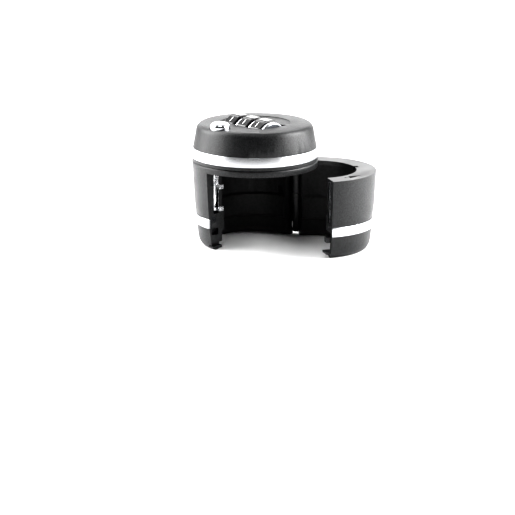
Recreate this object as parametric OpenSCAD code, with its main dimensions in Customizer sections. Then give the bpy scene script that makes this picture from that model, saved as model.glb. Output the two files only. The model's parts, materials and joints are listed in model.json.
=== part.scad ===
// Bottle neck combination lock: two half shells on a hinge close round the neck,
// a steel catch hooks them shut, and three number wheels under the cap free the catch.
// Millimetres. The axis of the bottle is Z; z = 0 is the lower edge of the grip collar.
// Modules are drawn with z = 0 on the bottom rim, and the last lines lower them.

/* [Neck] */
// radius of the collar that grips the neck below its bead
grip_r = 14.6; // [13:0.1:20]
// how much wider the neck opening is than the grip
bore_step = 1.0; // [0.6:0.1:2]
// height of the grip collar's lower edge above the bottom rim
collar_low = 7.0; // [6.8:0.1:9]
// height of the grip collar
collar_h = 7.7; // [5:0.1:9]

/* [Shells] */
// height of the two half shells
skirt_h = 28.8; // [27:0.1:40]
// radial depth from the neck opening to the outside, at the top
depth = 7.2; // [6.8:0.1:10]
// thickness of the outer walls
wall = 1.6; // [1.2:0.1:2]
// how far the door stands open as drawn, degrees
door_open = 65; // [0:1:80]
// radius of the hinge knuckles
knuckle_r = 2.1; // [1.8:0.1:2.4]
// radius of the hinge pin
pin_r = 1.0; // [0.7:0.1:1.2]
// radius of the post below the knuckles
post_r = 1.5; // [1.2:0.1:1.8]

/* [Cap] */
// thickness of the ring between the shells and the cap
ring_h = 2.3; // [2:0.1:4]
// height of the cap above the ring
cap_h = 13.6; // [13.6:0.1:20]
// how much the cap is wider than the shells
cap_flare = 0.2; // [0.1:0.1:0.6]

/* [Wheels] */
// corner radius of the ten-sided number wheels
dial_r = 7.3; // [5.8:0.1:8]
// distance from one wheel to the next
dial_pitch = 7.05; // [6.9:0.05:9]
// width of the numbered rim
rim_w = 5; // [4:0.1:5.2]
// how far a wheel stands above the cap
dial_proud = 2.3; // [1.5:0.1:3.5]

/* [Button and catch] */
// radius of the button
button_r = 3.65; // [3:0.05:4.5]
// travel of the button, the hooks and the spindle
travel = 1.6; // [1.5:0.05:2]
// height of the button above the cap while held down
button_proud = 2.3; // [1:0.1:3]
// width of each hook
hook_w = 1.6; // [1:0.1:2]

/* [Hidden] */
$fn = 96;
gap = 0.25;
bore_r = grip_r + bore_step;
out_r = bore_r + depth;
ring_z = skirt_h + ring_h;
cap_top = ring_z + cap_h;
cap_under = cap_top - 1.9;
dish_d = 0.65;
dial_z = cap_top - dial_r + dial_proud;
dial_y = -0.3;
row_x = 0.1 - 1.5 * dial_pitch;
hub_len = dial_pitch - 0.2;
hinge_y = out_r - knuckle_r;
latch_r = bore_r + 2.6;
hook_hi = skirt_h - 5.9;
hook_lo = skirt_h - 14;
slot_z = skirt_h - 15.5;
button_y = -(out_r - 6.2);
ramp_z = -3 - travel;
post_x = row_x + 3 * dial_pitch + travel - 1.3;
collar_top = collar_low + collar_h;
screw_r = out_r - 4.5;
outer = [[out_r - 3.8, 0], [out_r - 3, 0.6], [out_r - 2.3, 1.8], [out_r - 2, 3],
         [out_r - 1.3, 8], [out_r - 1.15, 11.5], [out_r - 0.7, 15.6], [out_r, skirt_h]];

// ---- shared shapes ----
module lower() translate([0, 0, -collar_low]) children();
module swing() translate([0, hinge_y, 0]) rotate([0, 0, door_open])
    translate([0, -hinge_y, 0]) children();
module box(x0, x1, y0, y1, z0, z1)
    translate([x0, y0, z0]) cube([x1 - x0, y1 - y0, z1 - z0]);
module ring(r0, r1, z0, z1) rotate_extrude()
    translate([r0, z0]) square([r1 - r0, z1 - z0]);
module along_x(x0, x1, r) translate([x0, 0, 0]) rotate([0, 90, 0])
    cylinder(h = x1 - x0, r = r);
module around(angles, r) for (a = angles) rotate([0, 0, a]) translate([r, 0, 0])
    children();

function around_at(r, a) = [r * cos(a), r * sin(a)];

// outer wall, from the outer line inward by wall
module outer_wall() rotate_extrude() polygon(concat(outer,
    [for (i = [len(outer) - 1 : -1 : 0]) [outer[i][0] - wall, outer[i][1]]]));
// inner wall with the grip collar
module inner_wall(z0, z1) rotate_extrude() polygon([
    [bore_r + 1.6, z0], [bore_r + 1.6, z1], [bore_r, z1], [bore_r, collar_top + 0.7],
    [grip_r, collar_top], [grip_r, collar_low], [bore_r, collar_low - 0.6],
    [bore_r, z0]]);
// the whole section from the neck opening to the outer line
module full_ring() rotate_extrude() polygon(concat(outer,
    [[bore_r, skirt_h], [bore_r, collar_top + 0.7], [grip_r, collar_top],
     [grip_r, collar_low], [bore_r, collar_low - 0.6], [bore_r, 0.4],
     [out_r - 5.4, 0.4], [out_r - 5.4, 0]]));
// room that the knuckles turn in
module barrel_room() translate([0, hinge_y, 0]) {
    translate([0, 0, 8]) cylinder(h = skirt_h, r = knuckle_r + 0.65);
    translate([0, 0, -1]) cylinder(h = 10, r = post_r + 0.25);
}
module band_ring(g) rotate_extrude() polygon([
    [out_r - 1.6 - g, 8.1], [out_r - 1.1, 8.1], [out_r - 0.95, 8.3],
    [out_r - 0.85, 11.3], [out_r - 1.0, 11.5], [out_r - 1.6 - g, 11.5]]);
module band_groove() ring(out_r - 1.65, out_r + 1, 8.1, 11.5);
module knuckle(z0, z1, side, bore) difference() {
    union() {
        translate([0, hinge_y, z0]) cylinder(h = z1 - z0, r = knuckle_r);
        box(side > 0 ? 0 : -3.4, side > 0 ? 3.4 : 0,
            hinge_y - 0.7, hinge_y + 0.9, z0, z1);
    }
    translate([0, hinge_y, z0 - 1]) cylinder(h = z1 - z0 + 2, r = bore);
}
module liner_bosses(angles) around(angles, bore_r + 2.2)
    translate([0, 0, 2]) cylinder(h = 6, r = 1.1);
module liner_holes(angles) around(angles, bore_r + 2.2) {
    translate([0, 0, 0]) cylinder(h = 1.3, r = 1);
    translate([0, 0, -1]) cylinder(h = 7.5, r = 0.65);
}
module liner_screw_set(angles) around(angles, bore_r + 2.2) difference() {
    union() {
        translate([0, 0, 0.45]) cylinder(h = 0.8, r = 0.95);
        translate([0, 0, 1]) cylinder(h = 5, r = 0.6);
    }
    translate([-0.2, -0.8, 0.2]) cube([0.4, 1.6, 0.6]);
    translate([-0.8, -0.2, 0.2]) cube([1.6, 0.4, 0.6]);
}

// ---- fixed half ----
module body_shell() color("#26272a") lower() difference() {
    union() {
        difference() {
            union() {
                intersection() {
                    union() {
                        outer_wall();
                        ring(bore_r, out_r - 3.2, 0.4, 2);
                        ring(bore_r + 1.7, out_r - 0.8, skirt_h - 1.8, skirt_h);
                    }
                    box(-40, -gap, -40, 40, -1, 50);
                }
                intersection() {
                    full_ring();
                    box(-2.9, -gap, -40, 0, -1, 50);
                }
            }
            barrel_room();
            band_groove();
        }
        knuckle(11.7, 15.5, -1, pin_r + 0.03);
        // post under the knuckle
        intersection() {
            translate([0, hinge_y, 0.8]) cylinder(h = 11, r = post_r);
            rotate_extrude() polygon([[10, 0], [out_r - 2.2, 0.8], [out_r - 1.2, 2.4],
                [out_r - 0.6, 6], [out_r, 11.8], [10, 11.8]]);
        }
        box(-3.4, 0, hinge_y - 1.3, hinge_y + 0.1, 4.6, 11.8);
        knuckle(skirt_h - 5.2, skirt_h, -1, pin_r + 0.03);
    }
    // T slot that the catch slides in
    box(-1.15, 0, -latch_r - 1.25, -latch_r + 1.25, slot_z, 60);
    box(-2.1, -1.15, -latch_r - 2.1, -latch_r + 2.1, slot_z, 60);
    // finger hollows beside the hooks
    for (z = [hook_hi + 2, hook_lo + 1.8])
        translate([-0.75, -latch_r - 2.1, z]) rotate([0, 90, 0]) cylinder(h = 1, r = 1.25);
    // seat of the screw in the end face, the peg hole and the tongue slot
    translate([-1.25, -latch_r - 1.4, skirt_h - 17.5]) rotate([0, 90, 0])
        cylinder(h = 2, r = 1.3);
    translate([-3.5, -latch_r - 1.4, skirt_h - 17.5]) rotate([0, 90, 0])
        cylinder(h = 4, r = 0.75);
    box(-2.1, 0, -latch_r - 2.3, -latch_r + 0.8, 5.5, 8);
    box(-2.1, 0, -latch_r - 2.2, -bore_r + 1, 1.2, 2.6);
    liner_holes([150, 215]);
    around([163, 205], bore_r + 3.5) translate([0, 0, skirt_h - 3])
        cylinder(h = 5, r = 1.05);
}
module body_liner() color("#1d1e20") lower() difference() {
    union() {
        intersection() {
            inner_wall(2, skirt_h);
            union() {
                box(-40, -3, -40, 40, 0, 50);
                box(-40, -gap, 0, 40, 0, 50);
            }
        }
        liner_bosses([150, 215]);
    }
    liner_holes([150, 215]);
    // small pocket by the hinge
    box(-4.2, -1.6, 10, bore_r + 0.9, 15.3 + 0.4, 18.4);
}
module body_band() color("#c9cbce") lower() difference() {
    intersection() {
        band_ring(0);
        box(-40, -gap - 0.05, -40, 40, 0, 50);
    }
    barrel_room();
}
module hinge_pin() color("#b9bbbe") lower() translate([0, hinge_y, 11.9])
    cylinder(h = skirt_h - 12.1, r = pin_r);
module face_screw() color("#6c6e72") lower()
    translate([0, -latch_r - 1.4, skirt_h - 17.5]) difference() {
        union() {
            along_x(-1.2, -0.4, 1.25);
            along_x(-2.8, -1, 0.7);
        }
        box(-0.75, 0, -0.9, 0.9, -0.18, 0.18);
        box(-0.75, 0, -0.18, 0.18, -0.9, 0.9);
    }
module body_liner_screws() color("#8d8f93") lower() liner_screw_set([150, 215]);
module shell_screws() color("#8d8f93") lower() around([163, 205], bore_r + 3.5) {
    translate([0, 0, skirt_h - 3.1]) cylinder(h = 1.3, r = 1.6);
    translate([0, 0, skirt_h - 2]) cylinder(h = 3.6, r = 1);
}

// ---- ring and cap ----
module chassis() color("#232427") lower() difference() {
    union() {
        rotate_extrude() polygon([[0, skirt_h + 0.8], [bore_r - 0.6, skirt_h + 0.8],
            [bore_r - 0.6, skirt_h], [out_r + 0.1, skirt_h],
            [out_r + cap_flare, ring_z - 0.4], [out_r + cap_flare - 0.3, ring_z],
            [0, ring_z]]);
        // posts of the wheel spindle
        box(row_x - 1.6, row_x - 0.3, dial_y - 2.6, dial_y + 2.6, ring_z, dial_z + 2.4);
        box(post_x, post_x + 1.4,
            dial_y - 2.6, dial_y + 2.6, ring_z, dial_z + 2.4);
        // seat of the catch spring
        translate([0, button_y + 2.2, ring_z]) cylinder(h = 1, r = 1.3);
    }
    translate([0, dial_y, dial_z]) along_x(-30, 30, 1.6);
    box(-1.15, 0, -latch_r - 1.25, -latch_r + 1.25, 0, 60);
    box(-2.1, -1.15, -latch_r - 2.1, -latch_r + 2.1, 0, 60);
    around([40, 140, 320], screw_r) {
        translate([0, 0, skirt_h - 1]) cylinder(h = 2.2, r = 1.8);
        translate([0, 0, skirt_h]) cylinder(h = 5, r = 1.1);
    }
    around([163, 205], bore_r + 3.5) translate([0, 0, skirt_h - 1])
        cylinder(h = 2.7, r = 1.05);
}
module neck_pad() color("#131415") lower() translate([0, 0, skirt_h])
    cylinder(h = 0.8, r = bore_r - 0.8);
module cap_body() rotate_extrude() polygon([
    [0, ring_z + 0.2], [out_r - 0.6, ring_z + 0.2], [out_r + cap_flare, ring_z + 0.2],
    [out_r + cap_flare, ring_z + 1.4], [out_r - 0.2, ring_z + 4.9],
    [out_r - 1.45, cap_top - 2], [out_r - 1.75, cap_top - 1.2],
    [out_r - 2.3, cap_top - 0.55], [out_r - 2.9, cap_top - 0.2],
    [out_r - 9, cap_top - 0.05], [0, cap_top]]);
module top_cover() color("#2a2b2e") lower() difference() {
    union() {
        difference() {
            union() {
                cap_body();
                ring(out_r - 2.2, out_r - 0.6, ring_z, ring_z + 0.5);
            }
            // inside of the cap
            rotate_extrude() polygon([[0, ring_z - 1], [out_r - 2.2, ring_z - 1],
                [out_r - 2.2, ring_z + 5], [out_r - 3, cap_under - 0.6],
                [out_r - 3.6, cap_under], [0, cap_under]]);
            ring(out_r - 0.5, out_r + 2, ring_z + 1.4, ring_z + 4.9);
        }
        around([40, 140, 320], screw_r)
            translate([0, 0, ring_z]) cylinder(h = cap_under - ring_z + 0.5, r = 2);
    }
    around([40, 140, 320], screw_r)
        translate([0, 0, ring_z - 1]) cylinder(h = 7.5, r = 1.05);
    // slot for the wheels, in a shallow dish
    intersection() {
        translate([0, dial_y, dial_z])
            along_x(row_x - 0.3, row_x + 3 * dial_pitch + 0.1, dial_r + 0.4);
        box(-40, 40, -40, 40, cap_under - 1, cap_top + 2);
    }
    rotate_extrude() polygon([[0, cap_top - dish_d], [4, cap_top - dish_d + 0.02],
        [8, cap_top - dish_d + 0.13], [11, cap_top - dish_d + 0.3],
        [out_r - 9.85, cap_top - dish_d + 0.44], [out_r - 9.8, cap_top + 1],
        [0, cap_top + 1]]);
    // room over the spindle and its posts
    box(row_x - 5.4, post_x + travel + 2.8, dial_y - 2.9, dial_y + 2.9, dial_z, dial_z + 2.6);
    translate([0, button_y, cap_under - 1]) cylinder(h = 5, r = button_r + 0.15);
    translate([0, button_y, cap_under - 4]) cylinder(h = 4.02, r = button_r + 0.5);
}
module cap_band() color("#c9cbce") lower() rotate_extrude() polygon([
    [out_r - 0.45, ring_z + 1.4], [out_r + cap_flare, ring_z + 1.4],
    [out_r + cap_flare + 0.1, ring_z + 1.7], [out_r + cap_flare - 0.1, ring_z + 4.4],
    [out_r - 0.1, ring_z + 4.9], [out_r - 0.45, ring_z + 4.9]]);
module cover_screws() color("#8d8f93") lower() around([40, 140, 320], screw_r)
    difference() {
        union() {
            translate([0, 0, skirt_h + 0.1]) cylinder(h = 1.1, r = 1.7);
            translate([0, 0, skirt_h + 1]) cylinder(h = ring_h + 4.5, r = 1);
        }
        translate([-0.25, -1.1, skirt_h - 0.2]) cube([0.5, 2.2, 0.9]);
        translate([-1.1, -0.25, skirt_h - 0.2]) cube([2.2, 0.5, 0.9]);
    }
// leaf with a finger under each wheel
module detent_spring() color("#a9abae") lower() {
    box(row_x + 0.4, row_x + 3 * dial_pitch - 1.5, dial_y + 5.6, dial_y + 8.2,
        ring_z, ring_z + 0.4);
    for (i = [0 : 2]) translate([row_x + 1 + i * dial_pitch, dial_y, ring_z])
        rotate([90, 0, 90]) linear_extrude(3.4) polygon([[8.2, 0], [8.2, 0.4], [6, 0.4],
            [1.6, dial_z - ring_z - dial_r - 0.2], [0, dial_z - ring_z - dial_r - 0.1],
            [-1.6, dial_z - ring_z - dial_r - 0.4],
            [-1.6, dial_z - ring_z - dial_r - 0.7],
            [0, dial_z - ring_z - dial_r - 0.4],
            [1.5, dial_z - ring_z - dial_r - 0.5], [5.8, 0]]);
}
// bent leaf that presses the slider towards the wheels
module spindle_spring() color("#a9abae") lower() translate([0, dial_y + 1.4, 0])
    rotate([90, 0, 0]) linear_extrude(2.8) polygon([
        [row_x - 5.6, ring_z], [row_x - 8.3, ring_z], [row_x - 8.7, ring_z + 0.5],
        [row_x - 8, ring_z + 5], [row_x - 6.2, dial_z + 0.6], [row_x - 5.75, dial_z],
        [row_x - 7.4, ring_z + 5], [row_x - 8.1, ring_z + 0.8],
        [row_x - 7.9, ring_z + 0.4], [row_x - 5.6, ring_z + 0.4]]);
module latch_spring() color("#b9bbbe") lower() translate([0, button_y + 2.2, ring_z])
    difference() {
        cylinder(h = cap_top - 9.6 - ring_z, r = 2);
        translate([0, 0, -1]) cylinder(h = 20, r = 1.45);
    }

// ---- door, drawn shut and swung open by the last lines ----
module door_shell() color("#26272a") lower() swing() {
    difference() {
        union() {
            difference() {
                union() {
                    intersection() {
                        union() {
                            outer_wall();
                            ring(bore_r, out_r - 3.2, 0.4, 2);
                            ring(bore_r, out_r - 0.8, skirt_h - 1.8, skirt_h);
                        }
                        box(gap, 40, -40, 40, -1, skirt_h - 0.2);
                    }
                    intersection() {
                        full_ring();
                        box(gap, 2.9, -40, 0, 9.35, skirt_h - 0.2);
                    }
                }
                barrel_room();
                band_groove();
            }
            knuckle(15.7, skirt_h - 5.4, 1, pin_r + 0.06);
        }
        // frame of the catch plate
        box(0, 1, -latch_r - 1.5, -latch_r + 1.5, hook_lo - 2.6, skirt_h - 1.2);
        box(0.85, 3.5, -latch_r - 2.2, -latch_r + 2.2, hook_lo - 4.7, skirt_h - 0.75);
        for (s = [-1, 1]) translate([0, -latch_r + s * 0.9, hook_lo - 3.7])
            along_x(-1, 2, 0.5);
        liner_holes([-35, 30]);
        // notch at the middle of the top flange, and the marks near its free end
        box(bore_r - 2, bore_r + 1.4, -1, 1, skirt_h - 3, skirt_h + 1);
        translate([0, 0, skirt_h - 3]) linear_extrude(4) polygon([
            around_at(out_r - 5.3, -62.4), around_at(out_r - 2.8, -66.4),
            around_at(out_r - 2.8, -48.9)]);
        rotate([0, 0, -69]) translate([out_r - 4.6, 0, skirt_h - 0.7])
            cylinder(h = 2, r = 0.35);
        // slanted lower corner by the hinge
        translate([0, bore_r - 2, 3.7]) rotate([0, 40, 0])
            box(-8, 0.6, 0, 3.9, -8, 0);
    }
    // peg and tongue that enter the fixed half
    box(-1.35, 3, -latch_r - 2, -latch_r + 0.5, 5.8, 7.7);
    box(-1.45, 2, -latch_r - 1.9, -bore_r - 0.2, 1.5, 2.3);
}
module door_liner() color("#1d1e20") lower() swing() difference() {
    union() {
        intersection() {
            inner_wall(2, skirt_h - 1.8);
            union() {
                box(3, 40, -40, 40, 0, 50);
                box(gap, 40, 0, 40, 0, 50);
            }
        }
        liner_bosses([-35, 30]);
    }
    liner_holes([-35, 30]);
    translate([0, bore_r - 2, 3.7]) rotate([0, 40, 0]) box(-8, 0.6, 0, 3.9, -8, 0);
}
module door_band() color("#c9cbce") lower() swing() difference() {
    intersection() {
        band_ring(0);
        box(gap + 0.05, 40, -40, 40, 0, 50);
    }
    barrel_room();
}
module catch_plate() color("#c2c4c7") lower() swing() difference() {
    box(0.85, 1.65, -latch_r - 2.1, -latch_r + 2.1, hook_lo - 4.6, skirt_h - 0.85);
    for (z = [hook_lo, hook_hi])
        box(0, 3, -latch_r - hook_w / 2 - 0.5, -latch_r + hook_w / 2 + 0.5,
            z - 2.2, z + 0.9 + travel);
    for (s = [-1, 1]) translate([0, -latch_r + s * 0.9, hook_lo - 3.7])
        along_x(0, 3, 0.5);
}
module catch_rivets() color("#9a9ca0") lower() swing() for (s = [-1, 1])
    translate([0, -latch_r + s * 0.9, hook_lo - 3.7]) {
        along_x(0.35, 1.9, 0.45);
        along_x(1.65, 2.1, 0.75);
    }
module door_liner_screws() color("#8d8f93") lower() swing() liner_screw_set([-35, 30]);

// ---- catch and button ----
module latch_plate() color("#c2c4c7") lower() {
    box(-2, -1.25, -latch_r - 2, -latch_r + 2, slot_z + 1.2, cap_top - 8.8);
    box(-1.3, -0.3, -latch_r - 1.15, -latch_r + 1.15, slot_z + 1.2, cap_top - 8.8);
    box(-2, 2.2, -latch_r - 1, button_y + 4.4, cap_top - 9.6, cap_top - 8.8);
    for (z = [hook_lo, hook_hi]) {
        box(-0.4, 2.85, -latch_r - hook_w / 2, -latch_r + hook_w / 2, z, z + 0.8);
        box(2.05, 2.85, -latch_r - hook_w / 2, -latch_r + hook_w / 2, z, z + travel);
    }
}
module release_button() color("#d7d9db") lower() translate([0, button_y, 0])
    rotate_extrude() polygon([[0, cap_under - travel - 0.1],
        [button_r, cap_under - travel - 0.1], [button_r, cap_top + button_proud - 0.8],
        [button_r - 0.2, cap_top + button_proud - 0.5],
        [button_r - 0.7, cap_top + button_proud - 0.25],
        [button_r - 1.7, cap_top + button_proud - 0.05],
        [0, cap_top + button_proud]]);
module button_stem() color("#1d1e20") lower() translate([0, button_y, 0]) {
    translate([0, 0, cap_under - travel - 0.9]) cylinder(h = 0.8, r = button_r + 0.35);
    translate([0, 1.4, cap_top]) rotate([90, 0, 0]) linear_extrude(2.8) polygon([
        [-7.6 - ramp_z, -2.8 - travel], [-7.6 - ramp_z, ramp_z], [1.15, -8.75], [2.6, -8.75], [2.6, -2.8 - travel]]);
}

// ---- number wheels ----
module wheel(i) color("#151617") lower()
    translate([row_x + i * dial_pitch, dial_y, dial_z]) difference() {
        union() {
            rotate([0, 90, 0]) rotate([0, 0, 18]) cylinder(h = rim_w, r = dial_r, $fn = 10);
            along_x(rim_w - 0.1, hub_len - 1.1, dial_r - 1.7);
        }
        along_x(-1, 9, 4.55);
    }
module hub(i) color("#c9cbce") lower()
    translate([row_x + i * dial_pitch, dial_y, dial_z]) difference() {
        union() {
            along_x(0, hub_len - 0.5, 4.5);
            along_x(hub_len - 1.1, hub_len - 0.3, dial_r - 0.9);
            translate([hub_len - 0.3, 0, 0]) rotate([0, 90, 0])
                cylinder(h = 0.3, r1 = dial_r - 0.9, r2 = dial_r - 1.2);
        }
        along_x(-1, 1, 2.7);
        along_x(0.9, 2, 1.6);
        along_x(1.6, hub_len - 1.1, 2.7);
        along_x(hub_len - 1.2, hub_len - 0.4, 1.6);
        along_x(hub_len - 0.5, hub_len + 1, 2.7);
        // gates that the fins pass at the right number
        box(0.5, hub_len + 0.5, -0.5, 0.5, -2.65, 0);
    }
module number_wheel_1() wheel(0);
module number_wheel_2() wheel(1);
module number_wheel_3() wheel(2);
module code_hub_1() hub(0);
module code_hub_2() hub(1);
module code_hub_3() hub(2);
module spindle() color("#b9bbbe") lower() translate([0, dial_y, dial_z]) {
    along_x(row_x - 5, post_x + 2.3, 1.5);
    for (i = [0 : 2]) box(row_x + i * dial_pitch + hub_len - 1.85,
        row_x + i * dial_pitch + hub_len - 1.25, -0.4, 0.4, -2.4, 0);
}
module cam_slider() color("#8d8f93") lower() difference() {
    union() {
        translate([0, button_y + 1.1, cap_top]) rotate([90, 0, 0]) linear_extrude(2.2)
            polygon([[-8.6, -6.7], [-1.05, -6.7], [-2.45, -5.3], [-8.6, -5.3]]);
        translate([0, 0, cap_top - 6.7]) linear_extrude(1.4) polygon([
            [-8.6, button_y - 1.1], [-6.8, button_y + 1.1], [row_x - 2.4, -7.5],
            [row_x - 3.6, -6.5], [row_x - 3.6, dial_y + 2], [row_x - 5, dial_y + 2],
            [row_x - 5, -7.4]]);
        box(row_x - 5, row_x - 3.6, dial_y - 2, dial_y + 2, dial_z - 2.2, dial_z + 2.2);
    }
    translate([0, dial_y, dial_z]) along_x(-30, 0, 1.52);
}

top_cover();
cap_band();
chassis();
neck_pad();
body_shell();
body_liner();
body_band();
hinge_pin();
face_screw();
cover_screws();
shell_screws();
body_liner_screws();
detent_spring();
spindle_spring();
latch_spring();
door_shell();
door_liner();
door_band();
catch_plate();
catch_rivets();
door_liner_screws();
latch_plate();
release_button();
button_stem();
number_wheel_1();
number_wheel_2();
number_wheel_3();
code_hub_1();
code_hub_2();
code_hub_3();
spindle();
cam_slider();
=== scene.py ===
"""Looks of the bottle neck combination lock: finishes, fine shapes, light and camera."""

import json
import math

import bmesh
import bpy
import numpy as np
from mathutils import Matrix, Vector


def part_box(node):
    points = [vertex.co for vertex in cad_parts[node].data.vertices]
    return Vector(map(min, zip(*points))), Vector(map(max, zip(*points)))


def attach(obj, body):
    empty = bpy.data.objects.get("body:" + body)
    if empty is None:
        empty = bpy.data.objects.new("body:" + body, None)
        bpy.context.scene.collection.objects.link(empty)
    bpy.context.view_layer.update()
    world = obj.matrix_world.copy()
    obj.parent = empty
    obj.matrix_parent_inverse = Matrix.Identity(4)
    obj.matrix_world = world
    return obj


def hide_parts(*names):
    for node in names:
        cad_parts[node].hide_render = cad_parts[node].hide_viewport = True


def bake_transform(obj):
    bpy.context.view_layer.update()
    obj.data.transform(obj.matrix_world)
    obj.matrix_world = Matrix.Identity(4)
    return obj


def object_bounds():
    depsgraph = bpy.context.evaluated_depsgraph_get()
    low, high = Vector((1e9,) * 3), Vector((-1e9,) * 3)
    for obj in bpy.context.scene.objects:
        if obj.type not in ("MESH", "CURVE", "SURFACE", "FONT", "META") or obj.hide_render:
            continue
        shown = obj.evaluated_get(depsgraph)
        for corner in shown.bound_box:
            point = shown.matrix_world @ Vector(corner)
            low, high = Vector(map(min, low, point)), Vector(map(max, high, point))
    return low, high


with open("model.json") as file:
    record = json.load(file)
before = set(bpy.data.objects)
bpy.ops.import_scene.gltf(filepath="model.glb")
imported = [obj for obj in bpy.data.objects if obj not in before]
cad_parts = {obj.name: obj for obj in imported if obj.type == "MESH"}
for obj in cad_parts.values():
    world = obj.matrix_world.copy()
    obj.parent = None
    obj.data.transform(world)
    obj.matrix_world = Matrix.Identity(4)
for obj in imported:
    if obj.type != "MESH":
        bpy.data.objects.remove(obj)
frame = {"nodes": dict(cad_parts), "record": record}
nodes, record = frame["nodes"], frame["record"]
cad_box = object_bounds()
scene = bpy.context.scene
MM = 0.001
SLOT_OF = {p["node"]: p["material_slot"] for p in record["subparts"]}
BODY_OF = {n: body for body, names in record["behaviour"]["bodies"].items() for n in names}
JOINT = {j["name"]: j for j in record["behaviour"]["joints"]}

# ---------------------------------------------------------------- materials


def colour(hex_code):
    """sRGB hex to linear red, green, blue, alpha: the standard sRGB curve."""
    c = np.array([int(hex_code[i:i + 2], 16) for i in (1, 3, 5)]) / 255
    lin = np.where(c <= 0.04045, c / 12.92, ((c + 0.055) / 1.055) ** 2.4)
    return (*map(float, lin), 1.0)


def add(tree, kind, settings=None, inputs=None, links=None):
    """Adds one node: its settings, its fixed inputs, and links from other outputs."""
    node = tree.nodes.new(kind)
    for key, value in (settings or {}).items():
        setattr(node, key, value)
    for key, value in (inputs or {}).items():
        node.inputs[key].default_value = value
    for key, source in (links or {}).items():
        tree.links.new(source, node.inputs[key])
    return node


def material(name, **shader):
    """A new material with one Principled shader; returns it, its tree and the shader."""
    m = bpy.data.materials.new(name)
    m.use_nodes = True
    tree = m.node_tree
    tree.nodes.clear()
    s = add(tree, "ShaderNodeBsdfPrincipled", inputs=shader)
    add(tree, "ShaderNodeOutputMaterial", links={"Surface": s.outputs[0]})
    return m, tree, s


def place(tree):
    """Object coordinates, in metres."""
    return add(tree, "ShaderNodeTexCoord").outputs["Object"]


def moulded(name, low, high, grain_mm, depth_mm, rough, ior=1.5, spread=0.04):
    """A moulded plastic or rubber: colour runs from low to high over a fine grain of
    grain_mm, the grain stands depth_mm proud, and gloss drifts by spread in soft patches."""
    m, tree, s = material(name, **{"IOR": ior, "Roughness": rough})
    at = place(tree)
    grain = add(tree, "ShaderNodeTexNoise", inputs={"Scale": 500 / grain_mm,
                "Detail": 2.0, "Roughness": 0.6}, links={"Vector": at})
    patch = add(tree, "ShaderNodeTexNoise", inputs={"Scale": 90.0, "Detail": 3.0},
                links={"Vector": at})
    speck = add(tree, "ShaderNodeMapRange", inputs={"From Min": 0.38, "From Max": 0.62,
                "To Min": 0.0, "To Max": 1.0}, links={"Value": grain.outputs["Fac"]})
    tone = add(tree, "ShaderNodeMix", {"data_type": "RGBA"},
               {6: colour(low), 7: colour(high)}, {0: speck.outputs[0]})
    gloss = add(tree, "ShaderNodeMapRange", inputs={"From Min": 0.3, "From Max": 0.7,
                "To Min": rough - spread, "To Max": rough + spread},
                links={"Value": patch.outputs["Fac"]})
    bump = add(tree, "ShaderNodeBump", inputs={"Strength": 0.6,
               "Distance": depth_mm * MM}, links={"Height": speck.outputs[0]})
    tree.links.new(tone.outputs[2], s.inputs["Base Color"])
    tree.links.new(gloss.outputs[0], s.inputs["Roughness"])
    tree.links.new(bump.outputs[0], s.inputs["Normal"])
    return m


def metal(name, tint, rough, spread, scale=(1, 1, 1), grain_mm=0.3, depth_mm=0.002):
    """A bare or plated metal with a grain drawn out along the axes of small scale: the
    grain moves the roughness by spread and raises a very low bump."""
    m, tree, s = material(name, **{"Metallic": 1.0, "Base Color": colour(tint),
                                   "Roughness": rough})
    turned = add(tree, "ShaderNodeMapping", inputs={"Scale": scale},
                 links={"Vector": place(tree)})
    grain = add(tree, "ShaderNodeTexNoise", inputs={"Scale": 500 / grain_mm,
                "Detail": 4.0, "Roughness": 0.65}, links={"Vector": turned.outputs[0]})
    gloss = add(tree, "ShaderNodeMapRange", inputs={"From Min": 0.3, "From Max": 0.7,
                "To Min": max(rough - spread, 0.02), "To Max": rough + spread},
                links={"Value": grain.outputs["Fac"]})
    bump = add(tree, "ShaderNodeBump", inputs={"Strength": 0.3,
               "Distance": depth_mm * MM}, links={"Height": grain.outputs["Fac"]})
    tree.links.new(gloss.outputs[0], s.inputs["Roughness"])
    tree.links.new(bump.outputs[0], s.inputs["Normal"])
    return m


# spark-eroded ABS of the shells and the cap: black in the mass, with a sparkling grain;
# real grain is near 0.1 mm and is drawn twice as coarse so that it shows
shell_abs = moulded("spark_eroded_abs", "#040405", "#202122", 0.2, 0.04, 0.38, 1.42)
# the door's top face is polished in the mould: the same ABS, smooth
smooth_abs = moulded("mould_polished_abs", "#141415", "#1c1c1d", 0.6, 0.002, 0.34, 1.5)
# plain moulded ABS of the inner walls: blacker, even and dull
inner_abs = moulded("plain_moulded_abs", "#121213", "#1b1b1c", 0.5, 0.006, 0.55, 1.35)
# polished ABS of the wheels: sharp facets that mirror the light
wheel_abs = moulded("polished_abs", "#0d0d0e", "#121213", 0.8, 0.001, 0.14, 1.5, 0.02)
# moulded rubber of the mouth pad
rubber = moulded("moulded_rubber", "#0e0f10", "#141516", 0.6, 0.01, 0.7)
# satin nickel of the bands: fine rings left by brushing round the axis
satin_nickel = metal("satin_nickel", "#c9cacc", 0.3, 0.05, (1, 1, 14), 0.5)
# bright nickel of the hub flanges
bright_nickel = metal("bright_nickel", "#dcdde0", 0.18, 0.03, (14, 1, 1), 0.5)
# stamped stainless steel of the hooks and the catch frame
stainless = metal("stamped_stainless", "#e4e5e7", 0.26, 0.04, (1, 1, 1), 1.2, 0.0002)
# zinc plated steel of the screws, pin and springs
zinc_steel = metal("zinc_plated_steel", "#8f9296", 0.34, 0.08)
# black oxide steel of the screw in the end face
black_steel = metal("black_oxide_steel", "#3a3b3d", 0.45, 0.05)
# the hub's face: a duller metal whose darker grey tint is painted shade, set beside its
# bright rim
hub_face_painted_shade = metal("hub_face_painted_shade", "#4a4c4f", 0.48, 0.05, (14, 1, 1), 0.5)
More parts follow.
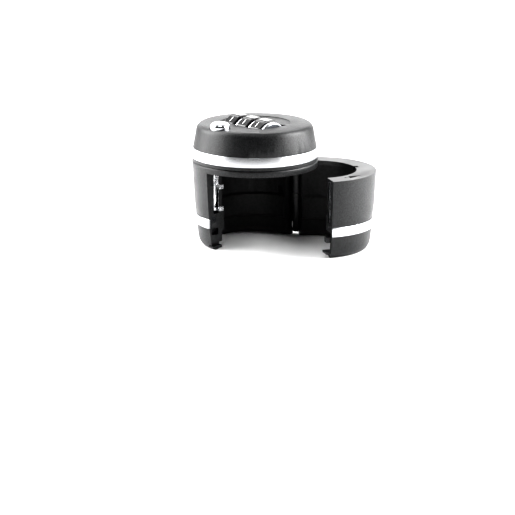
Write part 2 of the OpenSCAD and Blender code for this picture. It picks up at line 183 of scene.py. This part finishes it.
# polished chrome of the button: a mirror
chrome = metal("polished_chrome", "#e8e9ec", 0.1, 0.02, (1, 1, 1), 2.0, 0.0003)
# pad-printed white ink of the digits
white_ink = moulded("white_ink", "#f2f2f0", "#ffffff", 0.4, 0.001, 0.4)

FINISH = {
    "charcoal_plastic": shell_abs, "inner_plastic": inner_abs, "wheel_black": wheel_abs,
    "black_rubber": rubber, "satin_silver": satin_nickel, "steel": stainless,
    "dark_steel": zinc_steel, "chrome": chrome,
}
for name, slot in SLOT_OF.items():
    for s in nodes[name].material_slots:
        s.material = FINISH[slot]

# ---------------------------------------------------------------- making of pieces


def size(node):
    """Lowest and highest corners of a CAD node at rest, in millimetres."""
    return [np.array(corner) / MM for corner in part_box(node)]


def quads(rows, cols, ring_rows=False, ring_cols=False):
    """Faces of a grid of points, wrapped round along either side where asked."""
    r, c = np.meshgrid(np.arange(rows - (not ring_rows)), np.arange(cols - (not ring_cols)),
                       indexing="ij")
    r2, c2 = (r + 1) % rows, (c + 1) % cols
    return np.stack([r * cols + c, r * cols + c2, r2 * cols + c2, r2 * cols + c],
                    -1).reshape(-1, 4)


def piece(name, points, faces, node, finish=None, caps=(), sharp=40, rides=True):
    """Puts points in millimetres and faces into a mesh, closes seams and poles, turns
    faces outwards, and joins the piece to the body, slot and finish of a CAD node."""
    mesh = bpy.data.meshes.new(name)
    mesh.from_pydata((np.asarray(points, float).reshape(-1, 3) * MM).tolist(), [],
                     np.asarray(faces).tolist() + [list(map(int, c)) for c in caps])
    bm = bmesh.new()
    bm.from_mesh(mesh)
    bmesh.ops.remove_doubles(bm, verts=bm.verts, dist=1e-7)
    bmesh.ops.dissolve_degenerate(bm, edges=bm.edges, dist=1e-8)
    bmesh.ops.recalc_face_normals(bm, faces=bm.faces)
    bm.to_mesh(mesh)
    bm.free()
    return dress(bpy.data.objects.new(name, mesh), node, finish, sharp, rides=rides)


def dress(o, node, finish=None, sharp=40, stands=True, rides=True):
    """Links a piece, shades it smooth up to the sharp angle, and gives it a body, slot
    and finish; stands says that it replaces the CAD node, and a piece that is blended
    between two bodies doesn't ride."""
    scene.collection.objects.link(o)
    o.data.shade_smooth()
    o.data.set_sharp_from_angle(angle=math.radians(sharp))
    o.data.materials.clear()
    o.data.materials.append(finish or FINISH[SLOT_OF[node]])
    if rides:
        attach(o, BODY_OF[node])
    if stands:
        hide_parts(node)
    return o


def rounded(corners, radius, steps=4):
    """A closed outline with its corners rounded: each corner C becomes the curve
    (1-t)^2 A + 2t(1-t) C + t^2 B, where A and B lie up to radius from C on its sides."""
    c = np.asarray(corners, float)
    back, ahead = np.roll(c, 1, 0) - c, np.roll(c, -1, 0) - c
    lb, la = (np.linalg.norm(v, axis=1, keepdims=True) for v in (back, ahead))
    cut = np.broadcast_to(np.reshape(radius, (-1, 1)), lb.shape)
    a = c + back / lb * np.minimum(cut, lb * 0.45)
    b = c + ahead / la * np.minimum(cut, la * 0.45)
    t = np.linspace(0, 1, steps)[:, None, None]
    return ((1 - t) ** 2 * a + 2 * t * (1 - t) * c + t ** 2 * b).transpose(1, 0, 2) \
        .reshape(-1, 2)


def turned(outline, angles, axis="z", centre=(0, 0, 0)):
    """An outline of (radius, height) carried round an axis: for each angle a the point is
    (r cos a, r sin a, h), and for axis x it is (h, -r sin a, r cos a)."""
    r, h = np.asarray(outline, float).T
    a = np.asarray(angles, float)[:, None]
    if axis == "z":
        p = np.stack([r * np.cos(a), r * np.sin(a), h + 0 * a], -1)
    else:
        p = np.stack([h + 0 * a, -r * np.sin(a), r * np.cos(a)], -1)
    return p + np.asarray(centre, float)


def full_turn(outline, steps=128, **place_of):
    """A closed body of revolution: its points and faces."""
    p = turned(outline, np.linspace(0, 2 * np.pi, steps, endpoint=False), **place_of)
    return p, quads(steps, len(outline), True, True)


def part_turn(outline, first, last, steps=96, **place_of):
    """A body of revolution between two angles in degrees, with flat ends."""
    p = turned(outline, np.radians(np.linspace(first, last, steps)), **place_of)
    n = len(outline)
    return p, quads(steps, n, False, True), [np.arange(n)[::-1],
                                             np.arange(n) + (steps - 1) * n]


def swung(points):
    """Turns points of the shut door about the hinge to where it stands open."""
    hinge = np.array(JOINT["door_swing"]["pos_m"]) / MM
    a = -math.radians(JOINT["door_swing"]["range_deg"][0])
    turn = np.array([[math.cos(a), math.sin(a), 0], [-math.sin(a), math.cos(a), 0],
                     [0, 0, 1]])
    return (points - hinge) @ turn + hinge


def softened(node, edge_mm, sharp=35, finish=None):
    """A copy of a CAD node: its doubles merged, flat facets joined, and its edges
    rounded by edge_mm with a Bevel modifier."""
    mesh = nodes[node].data.copy()
    mesh.name = node + "_soft"
    bm = bmesh.new()
    bm.from_mesh(mesh)
    bmesh.ops.remove_doubles(bm, verts=bm.verts, dist=2e-6)
    bmesh.ops.dissolve_limit(bm, angle_limit=math.radians(0.6), verts=bm.verts,
                             edges=bm.edges)
    bm.to_mesh(mesh)
    bm.free()
    o = dress(bpy.data.objects.new(mesh.name, mesh), node, finish, sharp)
    m = o.modifiers.new("round_edges", "BEVEL")
    m.width, m.segments, m.limit_method = edge_mm * MM, 2, "ANGLE"
    m.angle_limit, m.harden_normals = math.radians(sharp), True
    m.miter_outer = "MITER_ARC"
    return o


def second_finish(o, finish, choose):
    """Gives a second finish to the faces that choose picks from centres and normals."""
    n = len(o.data.polygons)
    centre, normal = np.empty(n * 3), np.empty(n * 3)
    o.data.polygons.foreach_get("center", centre)
    o.data.polygons.foreach_get("normal", normal)
    picked = choose(centre.reshape(-1, 3) / MM, normal.reshape(-1, 3))
    o.data.materials.append(finish)
    o.data.polygons.foreach_set("material_index", picked.astype(np.int32))


# ---------------------------------------------------------------- shells and cap

EDGE_MM = {
    "top_cover": 0.14, "chassis": 0.16, "body_shell": 0.1, "body_liner": 0.1,
    "door_liner": 0.1, "latch_plate": 0.14, "catch_plate": 0.1, "catch_rivets": 0.12,
    "cover_screws": 0.1, "body_liner_screws": 0.08, "door_liner_screws": 0.08,
}
for node, edge in EDGE_MM.items():
    softened(node, edge)
softened("face_screw", 0.08, finish=black_steel)

# the door's shell: moulded grain outside, and a polished top face
TOP_FACE_DEEP = 0.3
door = softened("door_shell", 0.1)
door_top = size("door_shell")[1][2]
second_finish(door, smooth_abs,
              lambda c, n: (n[:, 2] > 0.9) & (c[:, 2] > door_top - TOP_FACE_DEEP))

# the black floor of the triangular mark in that face: corners as (radius, degrees), a
# slab between two depths under the face, its sides first and its two ends as caps
MARK_CORNERS = [(17.4, -62.4), (19.9, -66.4), (19.9, -48.9)]
MARK_DEPTHS = (1.0, 1.5)
mark = np.array([[r * math.cos(math.radians(t)), r * math.sin(math.radians(t)),
                  door_top - deep] for deep in MARK_DEPTHS for r, t in MARK_CORNERS])
piece("mark_floor", swung(mark), [(3, 4, 1, 0), (4, 5, 2, 1), (5, 3, 0, 2)],
      "door_shell", inner_abs, caps=[(0, 1, 2), (5, 4, 3)])

# the cap's band: a flat strip with soft edges that leans in with the cap's wall
BAND_THICK, BAND_LEAN = 0.5, 0.3
low, high = size("cap_band")
band_r, z0, z1 = (high[0] - low[0]) / 2, low[2], high[2]
section = rounded([[band_r - BAND_THICK, z0], [band_r, z0], [band_r - BAND_LEAN, z1],
                   [band_r - BAND_THICK, z1]], [0.02, 0.12, 0.12, 0.02])
piece("cap_band_ring", *full_turn(section, 160), "cap_band", sharp=60)

# the two lower bands: one section with soft edges, carried round each half's arc
STRIP_THICK, STRIP_EDGE = 0.7, 0.3
BODY_ARC, DOOR_ARC = (97.4, 269.2), (-89.2, 82.6)
low, high = size("body_band")
band_r, z0, z1 = -low[0], low[2], high[2]
section = rounded([[band_r - STRIP_THICK, z0], [band_r - 0.15, z0],
                   [band_r - 0.02, z0 + STRIP_EDGE], [band_r, z1 - STRIP_EDGE],
                   [band_r - 0.12, z1], [band_r - STRIP_THICK, z1]],
                  [0.02, 0.12, 0.15, 0.15, 0.12, 0.02])
points, faces, caps = part_turn(section, *BODY_ARC)
piece("body_band_strip", points, faces, "body_band", caps=caps, sharp=60)
points, faces, caps = part_turn(section, *DOOR_ARC)
piece("door_band_strip", swung(points), faces, "door_band", caps=caps, sharp=60)

# the mouth pad: a disc with a soft rim and a low ring under it
AXIS_R = 0.001
RING_OUT, RING_IN, RING_DEEP = 2.2, 2.6, 0.25
low, high = size("neck_pad")
pad_r, z0, z1 = high[0], low[2], high[2]
section = rounded([[AXIS_R, z1], [pad_r, z1], [pad_r, z0], [pad_r - RING_OUT, z0],
                   [pad_r - RING_IN, z0 + RING_DEEP], [AXIS_R, z0 + RING_DEEP]],
                  [0.001, 0.15, 0.25, 0.15, 0.15, 0.001])
piece("mouth_pad", *full_turn(section, 96), "neck_pad", sharp=60)

# ---------------------------------------------------------------- button

low, high = size("release_button")
button_r, top = (high[0] - low[0]) / 2, high[2]
button_at = ((low[0] + high[0]) / 2, (low[1] + high[1]) / 2, 0)
# crown: a side that leans in and rolls over to a low dome, a superellipse of this power
CROWN_HIGH, CROWN_POWER, FOOT_EDGE = 1.9, 2.3, 0.1
u = np.linspace(0, 1, 24)[:, None] * np.pi / 2
crown = np.hstack([button_r * np.sin(u) ** (2 / CROWN_POWER),
                   top - CROWN_HIGH + CROWN_HIGH * np.cos(u) ** (2 / CROWN_POWER)])
crown[0, 0] = 0.0
section = np.vstack([[[0.0, low[2]]], crown, [[button_r, low[2] + FOOT_EDGE],
                                              [button_r - FOOT_EDGE, low[2]]]])
piece("button_cap", *full_turn(section, 96, centre=button_at), "release_button", sharp=60)

# ---------------------------------------------------------------- number wheels

FACETS = 10
# the faceted rim's width, and how far the neck beside it and the bore lie inside
RIM_WIDE, NECK_DROP, BORE_R = 5.0, 1.7, 4.55
DIGIT_TALL, DIGIT_THIN, INK_THICK, INK_LIFT = 3.5, -0.03, 0.02, 0.01


def wheel_radius(angle, corner_r, soft):
    """Radius of a regular polygon with rounded corners, flat side up: the flats stand at
    corner_r cos(18 deg), and near a corner the radius is eased by a soft minimum."""
    half = np.pi / FACETS
    t = (angle + half) % (2 * half) - half
    flat = corner_r * math.cos(half) / np.cos(t)
    limit = corner_r - soft * 0.35
    ease = soft * 0.1
    return -ease * np.log(np.exp(-flat / ease) + np.exp(-limit / ease))


def wheel(i):
    """One numbered wheel: the polygon outline carried along the spindle through stations
    of (x, inset, round), where round blends the polygon into a circle."""
    low, high = size(f"number_wheel_{i}")
    pos = np.array(JOINT[f"dial_{i}_turn"]["pos_m"]) / MM
    corner = (high[1] - low[1]) / 2
    x0, x1 = low[0], high[0]
    rim_end = x0 + RIM_WIDE
    neck, bore = corner - NECK_DROP, BORE_R
    a = np.linspace(0, 2 * np.pi, 241)[:-1]
    side = wheel_radius(a, corner, 0.4)
    station = [(x0, bore, 1), (x0, corner - 1.2, 1), (x0, 0.35, 0), (x0 + 0.06, 0.12, 0),
               (x0 + 0.2, 0, 0), (x0 + 0.5, 0, 0), (rim_end - 0.5, 0, 0),
               (rim_end - 0.2, 0, 0), (rim_end - 0.06, 0.12, 0), (rim_end, 0.35, 0),
               (rim_end, neck, 1), (x1, neck, 1), (x1, bore, 1)]
    x, d, k = (np.array(v, float)[:, None] for v in zip(*station))
    r = np.where(k > 0, d, side[None] - d)
    p = np.stack([x + 0 * r, -r * np.sin(a) + pos[1], r * np.cos(a) + pos[2]], -1)
    piece(f"facet_wheel_{i}", p, quads(len(station), len(a), True, True),
          f"number_wheel_{i}", sharp=22)


def digits(i):
    """The ten digits of a wheel: each is a thin slab of ink on its facet, upright to
    someone who reads the row from the button's side."""
    low, high = size(f"number_wheel_{i}")
    pos = np.array(JOINT[f"dial_{i}_turn"]["pos_m"]) / MM
    apothem = (high[1] - low[1]) / 2 * math.cos(math.pi / FACETS)
    middle = low[0] + RIM_WIDE / 2
    all_points, all_faces, count = [], [], 0
    for digit in range(10):
        text = bpy.data.curves.new("digit", "FONT")
        text.body, text.size, text.extrude = str(digit), DIGIT_TALL, INK_THICK
        text.offset = DIGIT_THIN
        text.align_x, text.align_y = "CENTER", "CENTER"
        text.resolution_u = 4
        holder = bpy.data.objects.new("digit", text)
        scene.collection.objects.link(holder)
        flat = bpy.data.meshes.new_from_object(
            holder.evaluated_get(bpy.context.evaluated_depsgraph_get()))
        v = np.empty(len(flat.vertices) * 3)
        flat.vertices.foreach_get("co", v)
        v = v.reshape(-1, 3)
        v[:, :2] -= (v[:, :2].min(0) + v[:, :2].max(0)) / 2
        f = 2 * math.pi * digit / FACETS
        across, up = np.array([1, 0, 0]), np.array([0, math.cos(f), math.sin(f)])
        out = np.array([0, -math.sin(f), math.cos(f)])
        all_points.append(np.array([middle, pos[1], pos[2]]) + v[:, :1] * across
                          + v[:, 1:2] * up + (v[:, 2:] + apothem + INK_LIFT) * out)
        all_faces += [[j + count for j in poly.vertices] for poly in flat.polygons]
        count += len(v)
        bpy.data.objects.remove(holder)
        bpy.data.curves.remove(text)
        bpy.data.meshes.remove(flat)
    mesh = bpy.data.meshes.new(f"wheel_digits_{i}")
    mesh.from_pydata((np.vstack(all_points) * MM).tolist(), [], all_faces)
    dress(bpy.data.objects.new(mesh.name, mesh), f"number_wheel_{i}", white_ink, 30, False)


def hub(i):
    """A code hub: a sleeve with a flange, its rim bevelled wide round a plain face."""
    low, high = size(f"code_hub_{i}")
    pos = np.array(JOINT[f"dial_{i}_turn"]["pos_m"]) / MM
    x0, x1, r = low[0], high[0], (high[1] - low[1]) / 2
    bore, sleeve, flange, bevel = 2.75, 4.5, x1 - 1.1, 0.6
    section = rounded([[bore, x0], [sleeve, x0], [sleeve, flange], [r, flange],
                       [r, x1 - 0.5], [r - bevel, x1], [bore, x1]],
                      [0.1, 0.1, 0.1, 0.1, 0.2, 0.1, 0.1])
    o = piece(f"flanged_hub_{i}", *full_turn(section, 96, axis="x",
              centre=(0, pos[1], pos[2])), f"code_hub_{i}", bright_nickel, sharp=30)
    # the face inside the bevel gets the darker metal: its grey is painted shade
    second_finish(o, hub_face_painted_shade, lambda c, n: (c[:, 0] > x1 - 0.02) & (
        np.hypot(c[:, 1] - pos[1], c[:, 2] - pos[2]) < r - bevel))


for i in (1, 2, 3):
    wheel(i)
    digits(i)
    hub(i)

# ---------------------------------------------------------------- springs and pin


def tube(path, radius, sides=10):
    """A round wire along a path: at each point a circle square to the path, in the frame
    of the tangent and the upright; both ends are closed by flat discs."""
    along = np.gradient(path, axis=0)
    along /= np.linalg.norm(along, axis=1, keepdims=True)
    side = np.cross(along, [0, 0, 1.0])
    side /= np.linalg.norm(side, axis=1, keepdims=True)
    up = np.cross(side, along)
    a = np.linspace(0, 2 * np.pi, sides, endpoint=False)[None, :, None]
    p = path[:, None] + radius * (np.cos(a) * side[:, None] + np.sin(a) * up[:, None])
    n = len(path)
    return p, quads(n, sides, False, True), [np.arange(sides)[::-1],
                                             np.arange(sides) + (n - 1) * sides]


low, high = size("latch_spring")
wire, turns, coil_r = 0.2, 6, (high[0] - low[0]) / 2
t = np.linspace(0, 1, 240)
# height rises slowly in the first and last turn, so that the ends lie closed
rise = np.interp(t, [0, 0.15, 0.85, 1], [0, 0.03, 0.97, 1])
a = 2 * np.pi * turns * t
middle = (low + high) / 2
helix = np.stack([middle[0] + (coil_r - wire) * np.cos(a),
                  middle[1] + (coil_r - wire) * np.sin(a),
                  low[2] + wire + rise * (high[2] - low[2] - 2 * wire)], -1)
points, faces, caps = tube(helix, wire)
coil = piece("catch_coil", points, faces, "latch_spring", zinc_steel, caps, 60, False)
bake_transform(coil)

low, high = size("hinge_pin")
pin_r, z0, z1 = (high[0] - low[0]) / 2, low[2], high[2]
middle = (low + high) / 2
section = rounded([[AXIS_R, z0], [pin_r, z0], [pin_r, z1], [AXIS_R, z1]],
                  [0.001, 0.25, 0.25, 0.001])
piece("hinge_rod", *full_turn(section, 48, centre=(middle[0], middle[1], 0)), "hinge_pin")

# ---------------------------------------------------------------- floor and light

CAM_AZ = 49.0
RIM = float(cad_box[0][2])
FLOOR_R, FLOOR_GAP = 12, 0.00005
toward_azimuth = math.radians(CAM_AZ)

floor = bpy.data.objects.new("floor", bpy.data.meshes.new("floor"))
a = np.linspace(0, 2 * np.pi, 96, endpoint=False)
floor.data.from_pydata(np.stack([FLOOR_R * np.cos(a), FLOOR_R * np.sin(a),
                                 np.full_like(a, RIM - FLOOR_GAP)], 1).tolist(), [],
                       [list(range(len(a)))])
scene.collection.objects.link(floor)
paper, tree, shader = material("matt_white_paper", **{"Roughness": 0.9,
                               "Specular IOR Level": 0.1})
fibre = add(tree, "ShaderNodeTexNoise", inputs={"Scale": 300.0},
            links={"Vector": place(tree)})
tone = add(tree, "ShaderNodeMix", {"data_type": "RGBA"},
           {6: colour("#f2f2f2"), 7: colour("#f6f6f6")}, {0: fibre.outputs["Fac"]})
tree.links.new(tone.outputs[2], shader.inputs["Base Color"])
floor.data.materials.append(paper)

# a studio that is bright behind the lock and dim on the reading side
world = bpy.data.worlds.new("studio")
scene.world = world
world.use_nodes = True
tree = world.node_tree
sky = tree.nodes["Background"]
sky.inputs[0].default_value = colour("#ffffff")
view_way = (math.sin(toward_azimuth), -math.cos(toward_azimuth), 0.0)
facing = add(tree, "ShaderNodeVectorMath", {"operation": "DOT_PRODUCT"}, {1: view_way},
             {0: add(tree, "ShaderNodeTexCoord").outputs["Generated"]})
fall = add(tree, "ShaderNodeMapRange", inputs={"From Min": -0.5, "From Max": 0.5,
           "To Min": 0.85, "To Max": 0.06}, links={"Value": facing.outputs["Value"]})
tree.links.new(fall.outputs[0], sky.inputs[1])
scene.view_settings.view_transform = "Standard"
scene.view_settings.look = "High Contrast"


def soft_box(name, azimuth, elevation, distance, wide, high, power):
    """An area light on a sphere round the lock, facing it: azimuth in degrees from the
    reading side, sizes and distance in metres, power in watts."""
    a, e = toward_azimuth + math.radians(azimuth), math.radians(elevation)
    at = Vector((math.sin(a) * math.cos(e), -math.cos(a) * math.cos(e), math.sin(e)))
    data = bpy.data.lights.new(name, "AREA")
    data.shape, data.size, data.size_y, data.energy = "RECTANGLE", wide, high, power
    o = bpy.data.objects.new(name, data)
    o.location = at * distance + Vector((0, 0, 0.02))
    o.rotation_euler = (-at).to_track_quat("-Z", "Y").to_euler()
    scene.collection.objects.link(o)


# low boxes on both sides, small ones that light the floor beside the lock, a wide one
# and a low strip behind, and one overhead for the cap's shoulder
soft_box("box_left", -92, 12, 0.36, 0.4, 0.22, 1.6)
soft_box("box_right", 88, 12, 0.36, 0.4, 0.22, 2.0)
soft_box("floor_left", -102, 40, 0.2, 0.14, 0.14, 0.45)
soft_box("floor_right", 88, 36, 0.24, 0.12, 0.12, 0.6)
soft_box("box_back", 180, 50, 0.9, 0.9, 0.5, 4.4)
soft_box("strip_rear", 180, 11, 1.2, 1.2, 0.2, 1.8)
soft_box("box_top", 0, 66, 0.8, 0.4, 0.3, 1.1)

# ---------------------------------------------------------------- camera

CAM_ELEV, CAM_DISTANCE = 14.2, 0.85
LOOK_SIDE, LOOK_DROP = 0.00095, 0.0061
camera = bpy.data.cameras.new("camera")
camera.sensor_width, camera.lens = 36.0, 160.8
eye = bpy.data.objects.new("camera", camera)
lift = math.radians(CAM_ELEV)
side = Vector((math.cos(toward_azimuth), math.sin(toward_azimuth), 0))
toward = Vector((math.sin(toward_azimuth) * math.cos(lift),
                 -math.cos(toward_azimuth) * math.cos(lift), math.sin(lift)))
target = side * LOOK_SIDE + Vector((0, 0, RIM - LOOK_DROP))
eye.location = target + toward * CAM_DISTANCE
eye.rotation_euler = (-toward).to_track_quat("-Z", "Y").to_euler()
scene.collection.objects.link(eye)
scene.camera = eye
